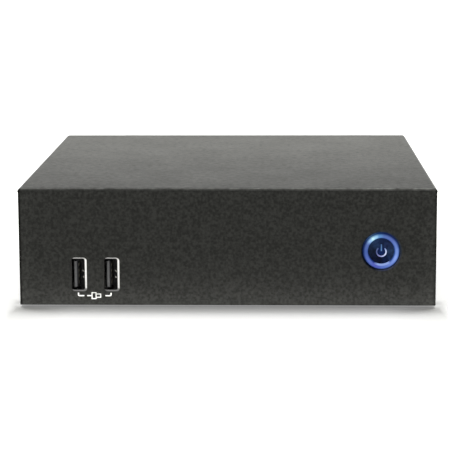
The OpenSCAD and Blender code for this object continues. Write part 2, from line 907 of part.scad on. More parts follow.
module video_tongues() {
    color("#232325")
    for (v = [[hdmi_size, hdmi_x], [dp_size, dp_x]])
        translate([v[1], y_port - v[0][1] + 2, z_board_top + v[0][2] / 2])
            union() {
                translate([4.2 - v[0][0] / 2, 0, -video_tongue_t / 2])
                    cube([v[0][0] - 8.4, v[0][1] - 3.4, video_tongue_t]);
                translate([2.6 - v[0][0] / 2, 0, 0.2 - v[0][2] / 2 + shell_wall])
                    cube([v[0][0] - 5.2, 2, v[0][2] - 2 * shell_wall - 0.4]);
            }
}

module lan_jack() {
    color("#b4b7bb")
    translate([lan_x, 0, z_board_top])
        difference() {
            translate([-lan_size[0] / 2, y_port - lan_size[1], 0])
                cube(lan_size);
            translate([-lan_cavity[0] / 2, y_port - lan_cavity[1], lan_cavity_up])
                cube([lan_cavity[0], lan_cavity[1] + 1, lan_cavity[2]]);
            translate([-lan_key[0] / 2, y_port - lan_cavity[1] + 4, lan_cavity_up - lan_key[1]])
                cube([lan_key[0], lan_cavity[1], 2 * lan_key[1]]);
        }
}

// Eight spring wires that slant down from the socket's roof.
module lan_contacts() {
    z = z_board_top + lan_cavity_up + lan_cavity[2];
    y = y_port - lan_cavity[1];
    color("#d4af37")
    for (i = [0:7])
        along_x(lan_x + (i - 3.5) * lan_contact_pitch - lan_contact_w / 2, lan_contact_w)
            polygon([[y + 0.1, z - 2.4], [y + 0.1, z - 2.8], [y + 9, z - 0.5], [y + 9, z - 0.1], [y + 8.6, z - 0.1]]);
}

module rear_usb_shells() {
    color("#c3c6ca")
    for (x = stack_x)
        translate([x, 0, z_board_top])
            difference() {
                translate([-stack_size[0] / 2, y_port - stack_size[1], 0])
                    cube(stack_size);
                for (z = stack_ports)
                    translate([0, 0, z])
                        along_y(y_port - usb_cavity[2], usb_cavity[2] + 1)
                            round_rect(usb_cavity[0], usb_cavity[1], cavity_corner);
            }
}

// A socket's tongue, from its mouth at the origin back along +Y, with the block that carries it.
module usb_tongue(cavity, depth, back) {
    low = tongue_off - tongue_size[1] / 2;
    high = tongue_off + tongue_size[1] / 2;
    along_x(-tongue_size[0] / 2, tongue_size[0])
        polygon([
            [tongue_front, low + tongue_lead[0]], [tongue_front + tongue_lead[1], low], [depth, low],
            [depth, high], [tongue_front + tongue_lead[1], high], [tongue_front, high - tongue_lead[0]]
        ]);
    along_y(back, depth - back)
        round_rect(cavity[0] - 2 * seat_gap, cavity[1] - 2 * seat_gap, cavity_corner);
}

module rear_usb_tongues() {
    color("#e9e9e6")
    for (x = stack_x, z = stack_ports)
        translate([x, y_port, z_board_top + z])
            rotate([0, 0, 180])
                usb_tongue(usb_cavity, usb_cavity[2] - seat_gap, tongue_back);
}

module audio_jacks() {
    color("#2b2b2d")
    for (x = audio_x)
        translate([x, 0, z_board_top])
            difference() {
                union() {
                    translate([-audio_size[0] / 2, y_wall_rear - board_clear - audio_size[1] + 0.2, 0])
                        cube([audio_size[0], audio_size[1], audio_size[2]]);
                    translate([0, y_wall_rear - board_clear, audio_up])
                        rotate([-90, 0, 0])
                            cylinder(r = audio_nose[0], h = y_port - y_wall_rear + board_clear);
                }
                translate([0, y_port - audio_depth, audio_up])
                    rotate([-90, 0, 0])
                        cylinder(r = audio_bore_r, h = audio_depth + 1);
            }
}

// ---- Front sockets ----

// Points of a rectangle with round corners, n to a corner, starting on its right side.
function ring_points(w, h, r, n) = [
    for (c = [0:3], i = [0:n - 1])
        let (a = 90 * (c + i / (n - 1)))
        [(c == 0 || c == 3 ? 1 : -1) * (w / 2 - r) + r * cos(a), (c < 2 ? 1 : -1) * (h / 2 - r) + r * sin(a)]
];

// A closed skin through rings that each say width, height, corner radius and place along Y.
module ring_tube(rings, n = 6) {
    m = 4 * n;
    k = len(rings);
    polyhedron(
        points = [for (g = rings, p = ring_points(g[0], g[1], g[2], n)) [p[0], g[3], p[1]]],
        faces = [for (j = [0:k - 1], i = [0:m - 1])
            [j * m + i, ((j + 1) % k) * m + i, ((j + 1) % k) * m + (i + 1) % m, j * m + (i + 1) % m]]
    );
}

module at_front_usb() {
    for (s = [-1, 1])
        translate([x_usb + s * front_usb_pitch / 2, y_usb, z_usb])
            rotate([0, -90, 0])
                children();
}

// The outline of a spring leaf that is pressed in from a wall towards the middle.
module usb_leaf(side, wall, rise) {
    polygon([
        [0.9, side * (wall + usb_wall / 2)], [0.9, side * wall], [3.2, side * (wall - rise)],
        [4.2, side * (wall - rise)], [8, side * wall], [8, side * (wall + usb_wall / 2)]
    ]);
}

// A drawn steel shell whose mouth flares outwards all round, with spring leaves in its long walls.
module front_usb_shells() {
    w = usb_mouth[0];
    h = usb_mouth[1];
    r = usb_corner;
    f = lip_flare;
    t = usb_wall;
    color("#d5d7da")
    at_front_usb()
        union() {
            ring_tube([
                [w, h, r, front_usb_depth],
                [w, h, r, lip_l + lip_t],
                [w + 2 * f, h + 2 * f, r + f, lip_t],
                [w + 2 * f, h + 2 * f, r + f, 0],
                [w + 2 * f - 0.2, h + 2 * f - 0.2, r + f - 0.1, 0],
                [w - 2 * t, h - 2 * t, r - t, lip_l],
                [w - 2 * t, h - 2 * t, r - t, front_usb_depth]
            ]);
            for (side = [-1, 1], x = leaf_at)
                along_x(x - leaf_w / 2, leaf_w)
                    usb_leaf(side, h / 2 - t, side < 0 ? 1 : 0.42);
        }
}

module front_usb_tongues() {
    color("#2a2a2c")
    at_front_usb()
        usb_tongue([for (m = usb_mouth) m - 2 * usb_wall], front_usb_depth, tongue_back);
}

module front_usb_contacts() {
    z = tongue_off - tongue_size[1] / 2;
    color("#d4af37")
    at_front_usb()
        for (x = contact_at)
            translate([x - contact_size[0] / 2, contact_from, z - contact_size[1]])
                cube([contact_size[0], tongue_back - contact_from - seat_gap, contact_size[1]]);
}

// The small board under the two front sockets, with its own plug header.
module front_board() {
    color("#1f5a3a")
    translate([x_usb, y_front_board, z_front_board])
        difference() {
            union() {
                translate([-front_board_size[0] / 2, 0, 0])
                    cube([front_board_size[0], front_board_size[1], board_t]);
                for (p = front_board_holes)
                    translate([p[0], p[1], z_floor - z_front_board])
                        cylinder(r = 2.6, h = z_front_board - z_floor + eps);
            }
            for (p = front_board_holes)
                translate([p[0], p[1], z_floor - z_front_board - 1])
                    cylinder(r = m2[0] + thread_gap, h = z_front_board - z_floor + board_t + 2);
        }
}

module front_board_screws() {
    color("#b9bcc0")
    for (p = front_board_holes)
        translate([x_usb + p[0], y_front_board + p[1], z_front_board + board_t])
            screw(m2, board_t + z_front_board - z_floor - 0.5);
}

// ---- Power button ----

// Turns +Z outwards, along the button's axis, with the origin on the front face.
module at_button() {
    translate([x_button, y_front, z_button])
        rotate([90, 0, 0])
            children();
}

// A clear ring with a round front, a flange behind the front wall and a skirt that leads the light in.
module button_light_ring() {
    color("#4a63ff")
    at_button()
        rotate_extrude()
            union() {
                translate([ring_mid, 0])
                    circle(r = ring_round);
                translate([ring_in, ring_back])
                    square([ring_r - ring_in, -ring_back]);
                translate([ring_in, ring_flange[1] - ring_flange[2]])
                    square([ring_flange[0] - ring_in, ring_flange[2]]);
                translate([pipe_in, pipe_back])
                    square([pipe_out - pipe_in, ring_flange[1] - pipe_back]);
            }
}

module symbol_outline(grow) {
    w = symbol_w + 2 * grow;
    translate([0, -symbol_drop])
        union() {
            difference() {
                circle(r = symbol_r + w / 2);
                circle(r = symbol_r - w / 2);
                polygon([[0, 0], 4 * symbol_r * [sin(symbol_open), cos(symbol_open)],
                    4 * symbol_r * [-sin(symbol_open), cos(symbol_open)]]);
            }
            translate([-w / 2, symbol_bar[0] - grow])
                square([w, symbol_bar[1] - symbol_bar[0] + 2 * grow]);
        }
}

module button_cap() {
    color("#1a1d2b")
    at_button()
        difference() {
            union() {
                rotate_extrude()
                    union() {
                        translate([0, ring_back - seat_gap - cap_flange_t])
                            square([cap_r, cap_face - cap_edge - ring_back + seat_gap + cap_flange_t]);
                        translate([0, ring_back - seat_gap - cap_flange_t])
                            square([cap_r - cap_edge, cap_face - ring_back + seat_gap + cap_flange_t]);
                        translate([cap_r - cap_edge, cap_face - cap_edge])
                            circle(r = cap_edge);
                        translate([0, ring_back - seat_gap - cap_flange_t])
                            square([cap_flange_r, cap_flange_t]);
                    }
                translate([0, 0, stem_tip])
                    cylinder(r = stem_r, h = stem_l + eps);
            }
            translate([0, 0, cap_face - symbol_depth])
                linear_extrude(symbol_depth + 1)
                    symbol_outline(0.01);
        }
}

module power_symbol() {
    color("#c9d4ff")
    at_button()
        translate([0, 0, cap_face - symbol_depth])
            linear_extrude(symbol_depth)
                symbol_outline(0);
}

module button_holder() {
    color("#232325")
    at_button()
        difference() {
            translate([0, 0, button_board_front])
                linear_extrude(ring_flange[1] - button_board_front)
                    union() {
                        circle(r = holder_r);
                        slot(2 * (button_screw_x + holder_ear_r), 2 * holder_ear_r);
                    }
            translate([0, 0, button_board_front - 1])
                cylinder(r = pipe_out + 0.2, h = 40);
            translate([0, 0, ring_flange[1] - ring_flange[2] - seat_gap])
                cylinder(r = ring_flange[0] + 0.2, h = 40);
            for (s = [-1, 1])
                translate([s * button_screw_x, 0, button_board_front - 1])
                    cylinder(r = m2[0] + hole_gap, h = 40);
        }
}

module button_board() {
    color("#1f5a3a")
    at_button()
        difference() {
            translate([0, 0, button_board_front - button_board_t])
                linear_extrude(button_board_t)
                    square(button_board_size, center = true);
            for (s = [-1, 1])
                translate([s * button_screw_x, 0, button_board_front - button_board_t - 1])
                    cylinder(r = m2[0] + hole_gap, h = button_board_t + 2);
        }
}

module button_screws() {
    color("#b9bcc0")
    at_button()
        for (s = [-1, 1])
            translate([s * button_screw_x, 0, button_board_front - button_board_t])
                rotate([180, 0, 0])
                    screw(m2, -(button_board_front - button_board_t) + wall_back + sheet_t - 0.3);
}

module key_switch_body() {
    color("#2b2b2d")
    at_button()
        difference() {
            translate([-switch_size[0] / 2, -switch_size[1] / 2, button_board_front])
                cube(switch_size);
            translate([0, 0, button_board_front + 0.8])
                cylinder(r = plunger_r + seat_gap, h = 10);
        }
}

// The switch's plunger is pushed in with the cap, so it has the same travel below it.
module key_switch_plunger() {
    l = switch_size[2] - 0.8 - press_travel - 0.1;
    color("#efe9d9")
    at_button()
        translate([0, 0, switch_front - l])
            cylinder(r = plunger_r, h = plunger_l + l);
}

module button_leds() {
    color("#9fb4ff")
    at_button()
        for (i = [0:3])
            rotate([0, 0, 45 + 90 * i])
                translate([(pipe_in + pipe_out - led_size[0]) / 2, -led_size[1] / 2, button_board_front])
                    cube(led_size);
}

// ---- Cooling ----

// A copper plate on four threaded legs, which the cooler's screws pull down onto the die.
module cold_plate() {
    color("#b87333")
    difference() {
        union() {
            block(plate_size, [cpu_xy[0], cpu_xy[1], z_die_top]);
            for (p = plate_screw_xy)
                translate([p[0], p[1], z_board_top])
                    cylinder(r = plate_leg_r, h = z_die_top - z_board_top + eps);
        }
        for (p = plate_screw_xy)
            translate([p[0], p[1], z_board_top - 1])
                cylinder(r = m2[0] + thread_gap, h = z_die_top - z_board_top + 3);
    }
}

// A flat pipe that runs from the cold plate, turns and lies under the fins.
module heat_pipe() {
    x_fin_mid = x_fins + fin_size_x / 2;
    x_turn = x_fin_mid - pipe_turn_r;
    y_turn = cpu_xy[1] - pipe_turn_r;
    w = pipe_size[0];
    color("#b87333")
    translate([0, 0, z_pipe])
        union() {
            translate([cpu_xy[0] - 16, cpu_xy[1] - w / 2, 0])
                cube([x_turn - cpu_xy[0] + 16, w, pipe_size[1]]);
            translate([x_fin_mid - w / 2, y_outlet + 0.4, 0])
                cube([w, y_turn - y_outlet - 0.4, pipe_size[1]]);
            translate([x_turn, y_turn, 0])
                rotate_extrude(angle = 90)
                    translate([pipe_turn_r - w / 2, 0])
                        square([w, pipe_size[1]]);
        }
}

module cooling_fins() {
    z = z_pipe + pipe_size[1];
    h = z_blower + blower_h - z;
    color("#a7abb0")
    translate([x_fins, y_outlet, z])
        union() {
            cube([fin_size_x, outlet_w, fin_t]);
            translate([0, 0, h - fin_t])
                cube([fin_size_x, outlet_w, fin_t]);
            for (i = [0:fin_count])
                translate([0, i * (outlet_w - fin_t) / fin_count, 0])
                    cube([fin_size_x, fin_t, h]);
        }
}

// The outline of the blower, or of the space in it.
module scroll(r, front) {
    circle(r = r);
    translate([0, -r])
        square([front, outlet_w + r - scroll_r]);
}

module blower_housing() {
    color("#232325")
    translate([blower_xy[0], blower_xy[1], z_blower])
        union() {
            difference() {
                union() {
                    linear_extrude(blower_h - lid_t)
                        scroll(blower_r, blower_front - blower_xy[0]);
                    for (p = ear_xy)
                        translate([p[0] - blower_xy[0], p[1] - blower_xy[1], 0])
                            cylinder(r = ear_r, h = ear_t);
                }
                translate([0, 0, lid_t])
                    linear_extrude(blower_h)
                        scroll(scroll_r, blower_front);
                difference() {
                    translate([0, 0, -1])
                        cylinder(r = intake_r, h = 3);
                    cylinder(r = hub_r, h = 3, center = true);
                    for (a = [30, 150, 270])
                        rotate([0, 0, a])
                            translate([0, -2, -1])
                                cube([intake_r + 1, 4, 4]);
                }
            }
            for (p = ear_xy)
                translate([p[0] - blower_xy[0], p[1] - blower_xy[1], z_board_top - z_blower])
                    difference() {
                        cylinder(r = ear_post_r, h = z_blower - z_board_top + eps);
                        translate([0, 0, -1])
                            cylinder(r = m2[0] + thread_gap, h = post_bite + 1.5);
                    }
        }
}

module blower_lid() {
    color("#9ea3a8")
    translate([blower_xy[0], blower_xy[1], z_blower + blower_h - lid_t])
        difference() {
            linear_extrude(lid_t)
                scroll(blower_r, blower_front - blower_xy[0]);
            translate([0, 0, -1])
                cylinder(r = intake_r, h = 3);
        }
}

// Bearing tube and wound core, which stand inside the impeller's hub.
module blower_motor() {
    core_h = rotor_h - hub_wall - 1;
    color("#b87333")
    translate([blower_xy[0], blower_xy[1], z_blower + lid_t])
        difference() {
            union() {
                cylinder(r = 3, h = core_h + rotor_gap);
                translate([0, 0, 0.4])
                    cylinder(r = hub_r - hub_wall - 0.6, h = core_h - 1);
                cylinder(r = 5, h = 1);
            }
            translate([0, 0, 0.6])
                cylinder(r = bearing_r, h = blower_h);
            for (i = [0:5])
                rotate([0, 0, 60 * i])
                    translate([3.4, -0.6, 1])
                        cube([10, 1.2, blower_h]);
        }
}

// A blade that curves from the inner radius to the outer one.
module blade() {
    sweep = 24;
    n = 5;
    mid = [for (i = [0:n]) let (u = i / n, r = blade_in + (impeller_r - blade_in) * u, a = sweep * u * u)
        r * [cos(a), sin(a)]];
    ribbon(mid, blade_t);
}

module impeller() {
    color("#2f2f31")
    translate([blower_xy[0], blower_xy[1], z_rotor])
        union() {
            difference() {
                cylinder(r = hub_r, h = rotor_h);
                translate([0, 0, -1])
                    cylinder(r = hub_r - hub_wall, h = rotor_h - hub_wall + 1);
            }
            translate([0, 0, 0.6 - rotor_gap + 0.3])
                cylinder(r = shaft_r, h = rotor_h + rotor_gap - 0.9 - hub_wall / 2);
            difference() {
                cylinder(r = impeller_r, h = rotor_plate);
                translate([0, 0, -1])
                    cylinder(r = hub_r - hub_wall / 2, h = 3);
            }
            for (i = [0:blades - 1])
                rotate([0, 0, 360 * i / blades])
                    linear_extrude(rotor_h)
                        blade();
        }
}

// The screws that hold the blower and the cold plate from under the board.
module cooler_screws() {
    color("#b9bcc0")
    union() {
        for (p = ear_xy)
            translate([p[0], p[1], z_board])
                mirror([0, 0, 1])
                    screw(m2, board_t + post_bite);
        for (p = plate_screw_xy)
            translate([p[0], p[1], z_board])
                mirror([0, 0, 1])
                    screw(m2, board_t + z_die_top - z_board_top + 1);
    }
}

// ---- Drive ----

module drive_bracket() {
    z_leg = z_base + cover_screw_up - 4;
    x_plate = x_leg + 1;
    color("#8d9196")
    difference() {
        union() {
            translate([x_plate, bracket_y[0], z_bracket])
                cube([drive_x + drive_w / 2 + bracket_over - x_plate, bracket_y[1] - bracket_y[0], bracket_t]);
            for (p = post_xy)
                block([12, 9, bracket_t], [p[0] - 1, p[1], z_bracket]);
            for (y = bracket_leg_y)
                union() {
                    translate([x_leg, y - bracket_leg_w / 2, z_bracket])
                        cube([x_plate - x_leg + bracket_t, bracket_leg_w, bracket_t]);
                    translate([x_leg, y - bracket_leg_w / 2, z_leg])
                        cube([bracket_t, bracket_leg_w, z_bracket - z_leg + bracket_t]);
                }
        }
        for (p = post_xy)
            translate([p[0], p[1], z_bracket - 1])
                cylinder(r = m3[0] + hole_gap, h = bracket_t + 2);
        for (y = bracket_leg_y)
            translate([x_leg, y, z_base + cover_screw_up])
                rotate([0, 90, 0])
                    cylinder(r = m3[0] + hole_gap, h = 6, center = true);
        for (s = [-1, 1], y = drive_hole_y)
            translate([drive_x + s * drive_hole_x, drive_y + y, z_bracket - 1])
                cylinder(r = m3[0] + hole_gap, h = bracket_t + 2);
        translate([drive_x, drive_y, z_bracket - 1])
            linear_extrude(bracket_t + 2)
                round_rect(40, 50, 6);
    }
}

module drive_posts() {
    color("#c9a227")
    for (p = post_xy)
        translate([p[0], p[1], z_board_top])
            union() {
                difference() {
                    cylinder(r = standoff_r, h = z_bracket - z_board_top, $fn = hex_fn);
                    translate([0, 0, 8])
                        cylinder(r = m3[0] + thread_gap, h = 40);
                }
                translate([0, 0, -board_t - standoff_h + 2])
                    cylinder(r = m3[0], h = board_t + standoff_h - 2 + eps);
            }
}

module drive() {
    color("#6f7378")
    difference() {
        union() {
            translate([drive_x - drive_w / 2, drive_y - drive_l / 2, z_drive])
                cube([drive_w, drive_l, drive_t - 1]);
            translate([drive_x - drive_w / 2 + 1, drive_y - drive_l / 2 + 1, z_drive])
                cube([drive_w - 2, drive_l - 2, drive_t]);
        }
        for (s = [-1, 1], y = drive_hole_y)
            translate([drive_x + s * drive_hole_x, drive_y + y, z_drive - 1])
                cylinder(r = m3[0] + thread_gap, h = 4.5);
        translate([drive_x - drive_plug[0] / 2 - 1, drive_y + drive_l / 2 - 4, z_drive + 1])
            cube([drive_plug[0] + 2, 5, drive_plug[2] + 0.4]);
    }
}

module drive_screws() {
    color("#b9bcc0")
    for (s = [-1, 1], y = drive_hole_y)
        translate([drive_x + s * drive_hole_x, drive_y + y, z_bracket])
            rotate([180, 0, 0])
                screw(m3, bracket_t + 2.8);
}

// The screws that hold the bracket to its posts and to the tray's flange.
module bracket_screws() {
    color("#b9bcc0")
    union() {
        for (p = post_xy)
            translate([p[0], p[1], z_bracket + bracket_t])
                screw(m3, 7);
        for (y = bracket_leg_y)
            translate([x_leg + bracket_t, y, z_base + cover_screw_up])
                rotate([0, 90, 0])
                    screw(m3, bracket_t + cover_gap + sheet_t - 0.05);
    }
}

// ---- Flat cables between the boards ----

module drive_cable() {
    z = z_drive + 1.2 + drive_plug[2] / 2;
    y = drive_plug_y + drive_plug[1];
    bend = 3;
    union() {
        block(drive_plug, [drive_x, drive_plug_y + drive_plug[1] / 2, z - drive_plug[2] / 2]);
        along_x(drive_header[0] - 5, 10)
            ribbon(concat(
                [[y - eps, z]], arc([y_cable_drop - bend, z - bend], bend, 90, 0),
                [[y_cable_drop, z_board_top + header_h]]
            ), 1);
    }
}

module front_cable() {
    y0 = y_front_board + front_board_size[1] - 3.5;
    z0 = z_front_board + board_t;
    y1 = front_header[1] - 2;
    z1 = z_board_top + 1.6;
    union() {
        block([16, 3, 2.6], [x_usb, y0, z0]);
        along_x(x_usb - 6, 12)
            ribbon([[y0 + 1.5, z0 + 1.4], [y0 + 2.2, z0 + 1.4], [y1 - 1.6, z1], [y1, z1]], 0.5);
    }
}

module button_cable() {
    y0 = y_front - (button_board_front - button_board_t);
    y1 = button_header[1];
    z = z_button - 2;
    union() {
        block([9, 3.5, 4], [x_button, y0 + 1.75, z - 2]);
        along_x(x_button - 3.5, 7)
            ribbon(concat([[y0 + 3.5, z]], arc([y1 - 3, z - 3], 3, 90, 0), [[y1, z_board_top + header_h]]), 0.8);
    }
}

module fan_cable() {
    x0 = blower_xy[0] - blower_r - 0.05;
    x1 = fan_header[0];
    z = z_blower + 4;
    translate([0, fan_header[1] + 2, 0])
        along_y(-4, 4)
            ribbon(concat([[x0 - 0.1, z]], arc([x1 + 2.5, z - 2.5], 2.5, 90, 180), [[x1, z_board_top + header_h]]), 0.8);
}

module internal_cables() {
    color("#33363a")
    union() {
        drive_cable();
        front_cable();
        button_cable();
        fan_cable();
    }
}

top_cover();
chassis_tray();
cover_screws();
cover_nuts();
rubber_feet();
mount_nuts();
board_standoffs();
main_board();
board_screws();
board_headers();
processor_package();
processor_die();
power_inductors();
power_capacitors();
coin_cell_holder();
coin_cell();
memory_sockets();
memory_module_1();
memory_module_2();
memory_chips();
dc_jack();
dc_jack_pin();
hdmi_shell();
displayport_shell();
video_tongues();
lan_jack();
lan_contacts();
rear_usb_shells();
rear_usb_tongues();
audio_jacks();
front_usb_shells();
front_usb_tongues();
front_usb_contacts();
front_board();
front_board_screws();
button_light_ring();
button_cap();
power_symbol();
button_holder();
button_board();
button_screws();
key_switch_body();
key_switch_plunger();
button_leds();
cold_plate();
heat_pipe();
cooling_fins();
blower_housing();
blower_lid();
blower_motor();
impeller();
cooler_screws();
drive_bracket();
drive_posts();
drive();
drive_screws();
bracket_screws();
internal_cables();
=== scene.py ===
"""The looks of a small desktop computer in a black powder-coated steel case, in metres."""
import json
import math
from functools import reduce

import bmesh
import bpy
from mathutils import Matrix, Vector


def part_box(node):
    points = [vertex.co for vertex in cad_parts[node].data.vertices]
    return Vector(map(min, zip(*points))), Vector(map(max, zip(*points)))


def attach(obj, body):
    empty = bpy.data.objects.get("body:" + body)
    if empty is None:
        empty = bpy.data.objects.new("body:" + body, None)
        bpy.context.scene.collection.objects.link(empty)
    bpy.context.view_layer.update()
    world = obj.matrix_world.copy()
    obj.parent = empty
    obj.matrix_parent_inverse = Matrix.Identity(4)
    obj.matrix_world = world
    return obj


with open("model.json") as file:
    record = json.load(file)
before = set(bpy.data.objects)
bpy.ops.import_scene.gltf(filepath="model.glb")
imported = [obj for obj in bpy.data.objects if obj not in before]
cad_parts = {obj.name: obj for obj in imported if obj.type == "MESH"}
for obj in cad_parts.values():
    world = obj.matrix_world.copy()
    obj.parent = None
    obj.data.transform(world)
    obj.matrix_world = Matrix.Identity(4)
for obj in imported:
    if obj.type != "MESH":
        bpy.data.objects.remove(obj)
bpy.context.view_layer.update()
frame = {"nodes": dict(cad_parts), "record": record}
NODES = frame["nodes"]
MM = 0.001
FACE_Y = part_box("top_cover")[0][1]
HALF_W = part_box("top_cover")[1][0]


def middle(node):
    lo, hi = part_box(node)
    return (Vector(lo) + Vector(hi)) / 2


def pair_across(node):
    """The width of one of two like pieces that stand side by side, and the distance from one to the next."""
    low, high = (corner[0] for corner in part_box(node))
    width = max(v.co.x for v in NODES[node].data.vertices if v.co.x < (low + high) / 2) - low
    return width, high - low - width


# ---- Camera ----

CAMERA_AT = Vector((17.3, -705.1, 152.52)) * MM
YAW, PITCH, ROLL = (math.radians(a) for a in (1.657, 8.844, -0.246))
LENS_MM, SENSOR_MM = 129.96, 36.0
SHIFT_Y = -0.12

forward = Vector((-math.sin(YAW) * math.cos(PITCH), math.cos(YAW) * math.cos(PITCH), -math.sin(PITCH)))
level = Vector((math.cos(YAW), math.sin(YAW), 0))
upward = level.cross(forward)
right = level * math.cos(ROLL) + upward * math.sin(ROLL)
up = upward * math.cos(ROLL) - level * math.sin(ROLL)
lens = bpy.data.cameras.new("camera")
lens.lens, lens.sensor_width = LENS_MM, SENSOR_MM
lens.shift_y = SHIFT_Y
lens.clip_start, lens.clip_end = 0.01, 50
camera = bpy.data.objects.new("camera", lens)
bpy.context.scene.collection.objects.link(camera)
camera.matrix_world = Matrix.Translation(CAMERA_AT) @ Matrix((right, up, -forward)).transposed().to_4x4()
bpy.context.scene.camera = camera


# ---- Materials ----

class Nodes:
    """Makes and links the nodes of one material or world."""

    def __init__(self, tree, space):
        self.tree = tree
        self.place = self.node("ShaderNodeTexCoord").outputs[space]

    def node(self, kind, inputs=None, **attributes):
        made = self.tree.nodes.new(kind)
        for key, value in attributes.items():
            setattr(made, key, value)
        for key, value in (inputs or {}).items():
            self.plug(made.inputs[key], value)
        return made

    def plug(self, socket, value):
        if isinstance(value, bpy.types.NodeSocket):
            self.tree.links.new(value, socket)
        elif socket.type == "RGBA" and len(value) == 3:
            socket.default_value = (*value, 1)
        else:
            socket.default_value = value

    def axes(self, vector):
        return tuple(self.node("ShaderNodeSeparateXYZ", {0: vector}).outputs)

    def span(self, value, low, high, first=0.3, last=0.7, kind="LINEAR"):
        """Maps a value from first..last to low..high."""
        inputs = {"Value": value, "From Min": first, "From Max": last, "To Min": low, "To Max": high}
        return self.node("ShaderNodeMapRange", inputs, interpolation_type=kind).outputs["Result"]

    def calc(self, operation, a, b=0.0):
        return self.node("ShaderNodeMath", {0: a, 1: b}, operation=operation).outputs[0]

    def times(self, *values):
        return reduce(lambda a, b: self.calc("MULTIPLY", a, b), values)

    def plus(self, *values):
        return reduce(lambda a, b: self.calc("ADD", a, b), values)

    def less(self, a, b):
        return self.calc("SUBTRACT", a, b)

    def most(self, *values):
        return reduce(lambda a, b: self.calc("MAXIMUM", a, b), values)

    def hypot(self, a, b):
        return self.calc("SQRT", self.plus(self.times(a, a), self.times(b, b)))

    def mix(self, factor, a, b, blend="MIX"):
        made = self.node("ShaderNodeMix", data_type="RGBA", blend_type=blend)
        self.plug(made.inputs[0], factor)
        self.plug(made.inputs[6], a)
        self.plug(made.inputs[7], b)
        return made.outputs[2]

    def seen_rays(self):
        """1 for the rays that show the background: from the camera, off gloss, and through glass."""
        path = self.node("ShaderNodeLightPath").outputs
        return self.most(*(path[f"Is {kind} Ray"] for kind in ("Camera", "Glossy", "Transmission")))


class Shader(Nodes):
    """A procedural material. Its textures sit in the object's own space, so they are in metres."""

    def __init__(self, name, **sockets):
        self.material = bpy.data.materials.new(name)
        self.material.use_nodes = True
        super().__init__(self.material.node_tree, "Object")
        self.bsdf = self.tree.nodes["Principled BSDF"]
        self.set(**sockets)

    def set(self, **sockets):
        for key, value in sockets.items():
            self.plug(self.bsdf.inputs[key.replace("_", " ")], value)
        return self

    def noise(self, size, detail=2.0, stretch=None):
        """Noise with features of about this size in metres; stretch scales the space along X, Y and Z."""
        place = self.place
        if stretch:
            place = self.node("ShaderNodeMapping", {"Vector": place, "Scale": stretch}).outputs["Vector"]
        inputs = {"Vector": place, "Scale": 1 / size, "Detail": detail}
        return self.node("ShaderNodeTexNoise", inputs).outputs["Fac"]

    def ramp(self, value, stops, smooth=True):
        """A colour that goes from stop to stop; a stop's colour may be one number, for a grey."""
        made = self.node("ShaderNodeValToRGB", {"Fac": value})
        made.color_ramp.interpolation = "EASE" if smooth else "LINEAR"
        elements = made.color_ramp.elements
        while len(elements) < len(stops):
            elements.new(0.5)
        for element, (at, color) in zip(elements, stops):
            element.position, element.color = at, (*(color if isinstance(color, tuple) else (color,) * 3), 1)
        return made.outputs["Color"]

    def bump(self, height, depth, strength=1.0, below=None):
        made = self.node("ShaderNodeBump", {"Height": height, "Distance": depth, "Strength": strength})
        if below is not None:
            self.plug(made.inputs["Normal"], below)
        return made.outputs["Normal"]


def linear(r, g, b):
    """An sRGB colour of 0 to 255 as linear light."""
    return tuple(c / 3294.6 if c <= 10 else ((c / 255 + 0.055) / 1.055) ** 2.4 for c in (r, g, b))


def varied(shader, color, size, amount=0.15):
    """A colour that is a little lighter and darker from place to place."""
    dark, light = (tuple(min(1, c * f) for c in color) for f in (1 - amount, 1 + amount))
    return shader.mix(shader.span(shader.noise(size, 3), 0, 1), dark, light)


def front_radii(node):
    """The least and greatest distance from the button's axis of what stands in front of the case."""
    centre = middle(node)
    points = (v.co for v in NODES[node].data.vertices if v.co.y < FACE_Y)
    radii = [math.hypot(p.x - centre.x, p.z - centre.z) for p in points]
    return min(radii), max(radii)


def about_button(s):
    """Distance from the button's axis, and the turn round it as 0 to 1, anticlockwise from the right."""
    centre = middle("button_light_ring")
    x, _, z = s.axes(s.place)
    x, z = s.less(x, centre.x), s.less(z, centre.z)
    return s.hypot(x, z), s.calc("FRACT", s.calc("DIVIDE", s.calc("ARCTAN2", z, x), math.tau))


def in_pair(s, node):
    """Distance from the left side of each of two like pieces that stand side by side, and a piece's width."""
    width, pitch = pair_across(node)
    from_first = s.less(s.axes(s.place)[0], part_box(node)[0][0])
    return s.times(s.calc("FRACT", s.calc("DIVIDE", from_first, pitch)), pitch), width


def coat_painted_light(s, normal_y, normal_z):
    """How strong the coat's colour and gloss are: painted shade darkens the front's two ends, more at the
    left, with a faint painted lighter strip just inside them; a painted highlight brightens its upper bend,
    more at the right.
    """
    across = s.axes(s.place)[0]
    out = s.calc("ABSOLUTE", across)
    left_to_right = (-HALF_W, HALF_W)
    # painted shade at the front's two ends, and a faint painted lighter strip just inside them
    dark = s.times(s.span(out, 0, 1, HALF_W - 1.4 * MM, HALF_W - 0.4 * MM),
                   s.span(across, 1.0, 0.5, *left_to_right))
    pale = s.span(out, 0, 0.12, HALF_W - 6 * MM, HALF_W - 3 * MM)
    ends = s.times(s.less(dark, pale), s.span(normal_y, 1, 0, -0.3, -0.1))
    # painted highlight along the bend from the top to the front
    bend = s.times(s.span(normal_z, 0, 1, 0.25, 0.5), s.span(normal_z, 1, 0, 0.8, 0.99),
                   s.span(across, 0.15, 0.95, *left_to_right))
    return s.less(s.plus(1, bend), ends)


